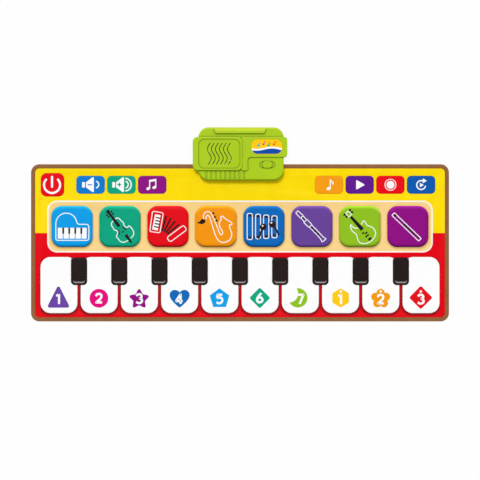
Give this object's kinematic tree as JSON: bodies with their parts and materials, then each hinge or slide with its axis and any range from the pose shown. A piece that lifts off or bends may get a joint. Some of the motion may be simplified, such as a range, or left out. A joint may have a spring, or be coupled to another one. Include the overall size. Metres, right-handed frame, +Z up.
{
  "type": "toy musical floor mat",
  "caption": "Padded musical floor mat for small children: a row of piano keys, instrument pads and round-cornered buttons, with a sound box clamped to its rear edge.",
  "frame": {"origin": "middle of the mat's underside, on the floor", "axes": "+X to the right along the keyboard, +Y from the player towards the sound box, +Z up"},
  "size_m": [1, 0.4629, 0.031],
  "materials": {
    "yellow_cover": "printed soft vinyl cloth, yellow above and red below",
    "brown_binding": "woven tape",
    "backing": "non-slip cloth",
    "foam": "soft foam",
    "contact_film": "printed film",
    "spacer_foam": "thin foam",
    "carbon_dots": "printed carbon",
    "white_key": "printed soft vinyl",
    "black_key": "printed soft vinyl",
    "piano_pad": "printed soft vinyl",
    "violin_pad": "printed soft vinyl",
    "accordion_pad": "printed soft vinyl",
    "saxophone_pad": "printed soft vinyl",
    "xylophone_pad": "printed soft vinyl",
    "clarinet_pad": "printed soft vinyl",
    "guitar_pad": "printed soft vinyl",
    "flute_pad": "printed soft vinyl",
    "power_button": "printed soft vinyl",
    "volume_down_button": "printed soft vinyl",
    "volume_up_button": "printed soft vinyl",
    "demo_button": "printed soft vinyl",
    "single_note_button": "printed soft vinyl",
    "play_button": "printed soft vinyl",
    "record_button": "printed soft vinyl",
    "playback_button": "printed soft vinyl",
    "green_plastic": "moulded, satin",
    "rear_plastic": "moulded, satin",
    "sticker": "printed film",
    "steel_screw": "zinc plated",
    "speaker_steel": "pressed steel",
    "magnet": "ferrite",
    "cone_paper": "pressed paper",
    "board": "green lacquer",
    "board_part": "moulded",
    "switch_body": "moulded",
    "knob_plastic": "moulded, satin",
    "cell_sleeve": "printed sleeve",
    "spring_steel": "nickel plated",
    "wire": "insulated"
  },
  "bodies": {
    "mat": {"backing_cloth": "backing", "foam_pad": "foam", "lower_contact_film": "contact_film", "contact_dots": "carbon_dots", "spacer_layer": "spacer_foam", "upper_contact_film": "contact_film", "cover_sheet": "yellow_cover", "edge_binding": "brown_binding", "front_shell": "green_plastic", "rear_shell": "rear_plastic", "label_sticker": "sticker", "housing_screws": "steel_screw", "speaker_basket": "speaker_steel", "speaker_magnet": "magnet", "speaker_cone": "cone_paper", "circuit_board": "board", "board_parts": "board_part", "slide_switch": "switch_body", "batteries": "cell_sleeve", "battery_contacts": "spring_steel", "wires": "wire"},
    "battery_door": {"battery_door": "rear_plastic", "door_screw": "steel_screw"},
    "slider": {"slider_knob": "knob_plastic", "switch_lever": "switch_body"},
    "white_key_1": {"white_key_1": "white_key"},
    "white_key_2": {"white_key_2": "white_key"},
    "white_key_3": {"white_key_3": "white_key"},
    "white_key_4": {"white_key_4": "white_key"},
    "white_key_5": {"white_key_5": "white_key"},
    "white_key_6": {"white_key_6": "white_key"},
    "white_key_7": {"white_key_7": "white_key"},
    "white_key_8": {"white_key_8": "white_key"},
    "white_key_9": {"white_key_9": "white_key"},
    "white_key_10": {"white_key_10": "white_key"},
    "black_key_1": {"black_key_1": "black_key"},
    "black_key_2": {"black_key_2": "black_key"},
    "black_key_3": {"black_key_3": "black_key"},
    "black_key_4": {"black_key_4": "black_key"},
    "black_key_5": {"black_key_5": "black_key"},
    "black_key_6": {"black_key_6": "black_key"},
    "black_key_7": {"black_key_7": "black_key"},
    "black_key_8": {"black_key_8": "black_key"},
    "black_key_9": {"black_key_9": "black_key"},
    "piano_pad": {"piano_pad": "piano_pad"},
    "violin_pad": {"violin_pad": "violin_pad"},
    "accordion_pad": {"accordion_pad": "accordion_pad"},
    "saxophone_pad": {"saxophone_pad": "saxophone_pad"},
    "xylophone_pad": {"xylophone_pad": "xylophone_pad"},
    "clarinet_pad": {"clarinet_pad": "clarinet_pad"},
    "guitar_pad": {"guitar_pad": "guitar_pad"},
    "flute_pad": {"flute_pad": "flute_pad"},
    "power_button": {"power_button": "power_button"},
    "volume_down_button": {"volume_down_button": "volume_down_button"},
    "volume_up_button": {"volume_up_button": "volume_up_button"},
    "demo_button": {"demo_button": "demo_button"},
    "single_note_button": {"single_note_button": "single_note_button"},
    "play_button": {"play_button": "play_button"},
    "record_button": {"record_button": "record_button"},
    "playback_button": {"playback_button": "playback_button"}
  },
  "joints": [
    {"name": "white_key_1_press", "type": "slide", "parent": "mat", "child": "white_key_1", "axis": [0, 0, -1], "range_m": [0, 0.001], "stiffness_N_per_m": 600, "springref_m": -0.002},
    {"name": "white_key_2_press", "type": "slide", "parent": "mat", "child": "white_key_2", "axis": [0, 0, -1], "range_m": [0, 0.001], "stiffness_N_per_m": 600, "springref_m": -0.002},
    {"name": "white_key_3_press", "type": "slide", "parent": "mat", "child": "white_key_3", "axis": [0, 0, -1], "range_m": [0, 0.001], "stiffness_N_per_m": 600, "springref_m": -0.002},
    {"name": "white_key_4_press", "type": "slide", "parent": "mat", "child": "white_key_4", "axis": [0, 0, -1], "range_m": [0, 0.001], "stiffness_N_per_m": 600, "springref_m": -0.002},
    {"name": "white_key_5_press", "type": "slide", "parent": "mat", "child": "white_key_5", "axis": [0, 0, -1], "range_m": [0, 0.001], "stiffness_N_per_m": 600, "springref_m": -0.002},
    {"name": "white_key_6_press", "type": "slide", "parent": "mat", "child": "white_key_6", "axis": [0, 0, -1], "range_m": [0, 0.001], "stiffness_N_per_m": 600, "springref_m": -0.002},
    {"name": "white_key_7_press", "type": "slide", "parent": "mat", "child": "white_key_7", "axis": [0, 0, -1], "range_m": [0, 0.001], "stiffness_N_per_m": 600, "springref_m": -0.002},
    {"name": "white_key_8_press", "type": "slide", "parent": "mat", "child": "white_key_8", "axis": [0, 0, -1], "range_m": [0, 0.001], "stiffness_N_per_m": 600, "springref_m": -0.002},
    {"name": "white_key_9_press", "type": "slide", "parent": "mat", "child": "white_key_9", "axis": [0, 0, -1], "range_m": [0, 0.001], "stiffness_N_per_m": 600, "springref_m": -0.002},
    {"name": "white_key_10_press", "type": "slide", "parent": "mat", "child": "white_key_10", "axis": [0, 0, -1], "range_m": [0, 0.001], "stiffness_N_per_m": 600, "springref_m": -0.002},
    {"name": "black_key_1_press", "type": "slide", "parent": "mat", "child": "black_key_1", "axis": [0, 0, -1], "range_m": [0, 0.001], "stiffness_N_per_m": 600, "springref_m": -0.002},
    {"name": "black_key_2_press", "type": "slide", "parent": "mat", "child": "black_key_2", "axis": [0, 0, -1], "range_m": [0, 0.001], "stiffness_N_per_m": 600, "springref_m": -0.002},
    {"name": "black_key_3_press", "type": "slide", "parent": "mat", "child": "black_key_3", "axis": [0, 0, -1], "range_m": [0, 0.001], "stiffness_N_per_m": 600, "springref_m": -0.002},
    {"name": "black_key_4_press", "type": "slide", "parent": "mat", "child": "black_key_4", "axis": [0, 0, -1], "range_m": [0, 0.001], "stiffness_N_per_m": 600, "springref_m": -0.002},
    {"name": "black_key_5_press", "type": "slide", "parent": "mat", "child": "black_key_5", "axis": [0, 0, -1], "range_m": [0, 0.001], "stiffness_N_per_m": 600, "springref_m": -0.002},
    {"name": "black_key_6_press", "type": "slide", "parent": "mat", "child": "black_key_6", "axis": [0, 0, -1], "range_m": [0, 0.001], "stiffness_N_per_m": 600, "springref_m": -0.002},
    {"name": "black_key_7_press", "type": "slide", "parent": "mat", "child": "black_key_7", "axis": [0, 0, -1], "range_m": [0, 0.001], "stiffness_N_per_m": 600, "springref_m": -0.002},
    {"name": "black_key_8_press", "type": "slide", "parent": "mat", "child": "black_key_8", "axis": [0, 0, -1], "range_m": [0, 0.001], "stiffness_N_per_m": 600, "springref_m": -0.002},
    {"name": "black_key_9_press", "type": "slide", "parent": "mat", "child": "black_key_9", "axis": [0, 0, -1], "range_m": [0, 0.001], "stiffness_N_per_m": 600, "springref_m": -0.002},
    {"name": "piano_pad_press", "type": "slide", "parent": "mat", "child": "piano_pad", "axis": [0, 0, -1], "range_m": [0, 0.001], "stiffness_N_per_m": 600, "springref_m": -0.002},
    {"name": "violin_pad_press", "type": "slide", "parent": "mat", "child": "violin_pad", "axis": [0, 0, -1], "range_m": [0, 0.001], "stiffness_N_per_m": 600, "springref_m": -0.002},
    {"name": "accordion_pad_press", "type": "slide", "parent": "mat", "child": "accordion_pad", "axis": [0, 0, -1], "range_m": [0, 0.001], "stiffness_N_per_m": 600, "springref_m": -0.002},
    {"name": "saxophone_pad_press", "type": "slide", "parent": "mat", "child": "saxophone_pad", "axis": [0, 0, -1], "range_m": [0, 0.001], "stiffness_N_per_m": 600, "springref_m": -0.002},
    {"name": "xylophone_pad_press", "type": "slide", "parent": "mat", "child": "xylophone_pad", "axis": [0, 0, -1], "range_m": [0, 0.001], "stiffness_N_per_m": 600, "springref_m": -0.002},
    {"name": "clarinet_pad_press", "type": "slide", "parent": "mat", "child": "clarinet_pad", "axis": [0, 0, -1], "range_m": [0, 0.001], "stiffness_N_per_m": 600, "springref_m": -0.002},
    {"name": "guitar_pad_press", "type": "slide", "parent": "mat", "child": "guitar_pad", "axis": [0, 0, -1], "range_m": [0, 0.001], "stiffness_N_per_m": 600, "springref_m": -0.002},
    {"name": "flute_pad_press", "type": "slide", "parent": "mat", "child": "flute_pad", "axis": [0, 0, -1], "range_m": [0, 0.001], "stiffness_N_per_m": 600, "springref_m": -0.002},
    {"name": "power_button_press", "type": "slide", "parent": "mat", "child": "power_button", "axis": [0, 0, -1], "range_m": [0, 0.001], "stiffness_N_per_m": 600, "springref_m": -0.002},
    {"name": "volume_down_button_press", "type": "slide", "parent": "mat", "child": "volume_down_button", "axis": [0, 0, -1], "range_m": [0, 0.001], "stiffness_N_per_m": 600, "springref_m": -0.002},
    {"name": "volume_up_button_press", "type": "slide", "parent": "mat", "child": "volume_up_button", "axis": [0, 0, -1], "range_m": [0, 0.001], "stiffness_N_per_m": 600, "springref_m": -0.002},
    {"name": "demo_button_press", "type": "slide", "parent": "mat", "child": "demo_button", "axis": [0, 0, -1], "range_m": [0, 0.001], "stiffness_N_per_m": 600, "springref_m": -0.002},
    {"name": "single_note_button_press", "type": "slide", "parent": "mat", "child": "single_note_button", "axis": [0, 0, -1], "range_m": [0, 0.001], "stiffness_N_per_m": 600, "springref_m": -0.002},
    {"name": "play_button_press", "type": "slide", "parent": "mat", "child": "play_button", "axis": [0, 0, -1], "range_m": [0, 0.001], "stiffness_N_per_m": 600, "springref_m": -0.002},
    {"name": "record_button_press", "type": "slide", "parent": "mat", "child": "record_button", "axis": [0, 0, -1], "range_m": [0, 0.001], "stiffness_N_per_m": 600, "springref_m": -0.002},
    {"name": "playback_button_press", "type": "slide", "parent": "mat", "child": "playback_button", "axis": [0, 0, -1], "range_m": [0, 0.001], "stiffness_N_per_m": 600, "springref_m": -0.002},
    {"name": "slider_slide", "type": "slide", "parent": "mat", "child": "slider", "axis": [1, 0, 0], "range_m": [-0.006, 0.006]},
    {"name": "battery_door_hinge", "type": "hinge", "parent": "mat", "child": "battery_door", "pos_m": [0.0905, 0.2441, 0.0012], "axis": [0, -1, 0], "range_deg": [0, 90]}
  ]
}
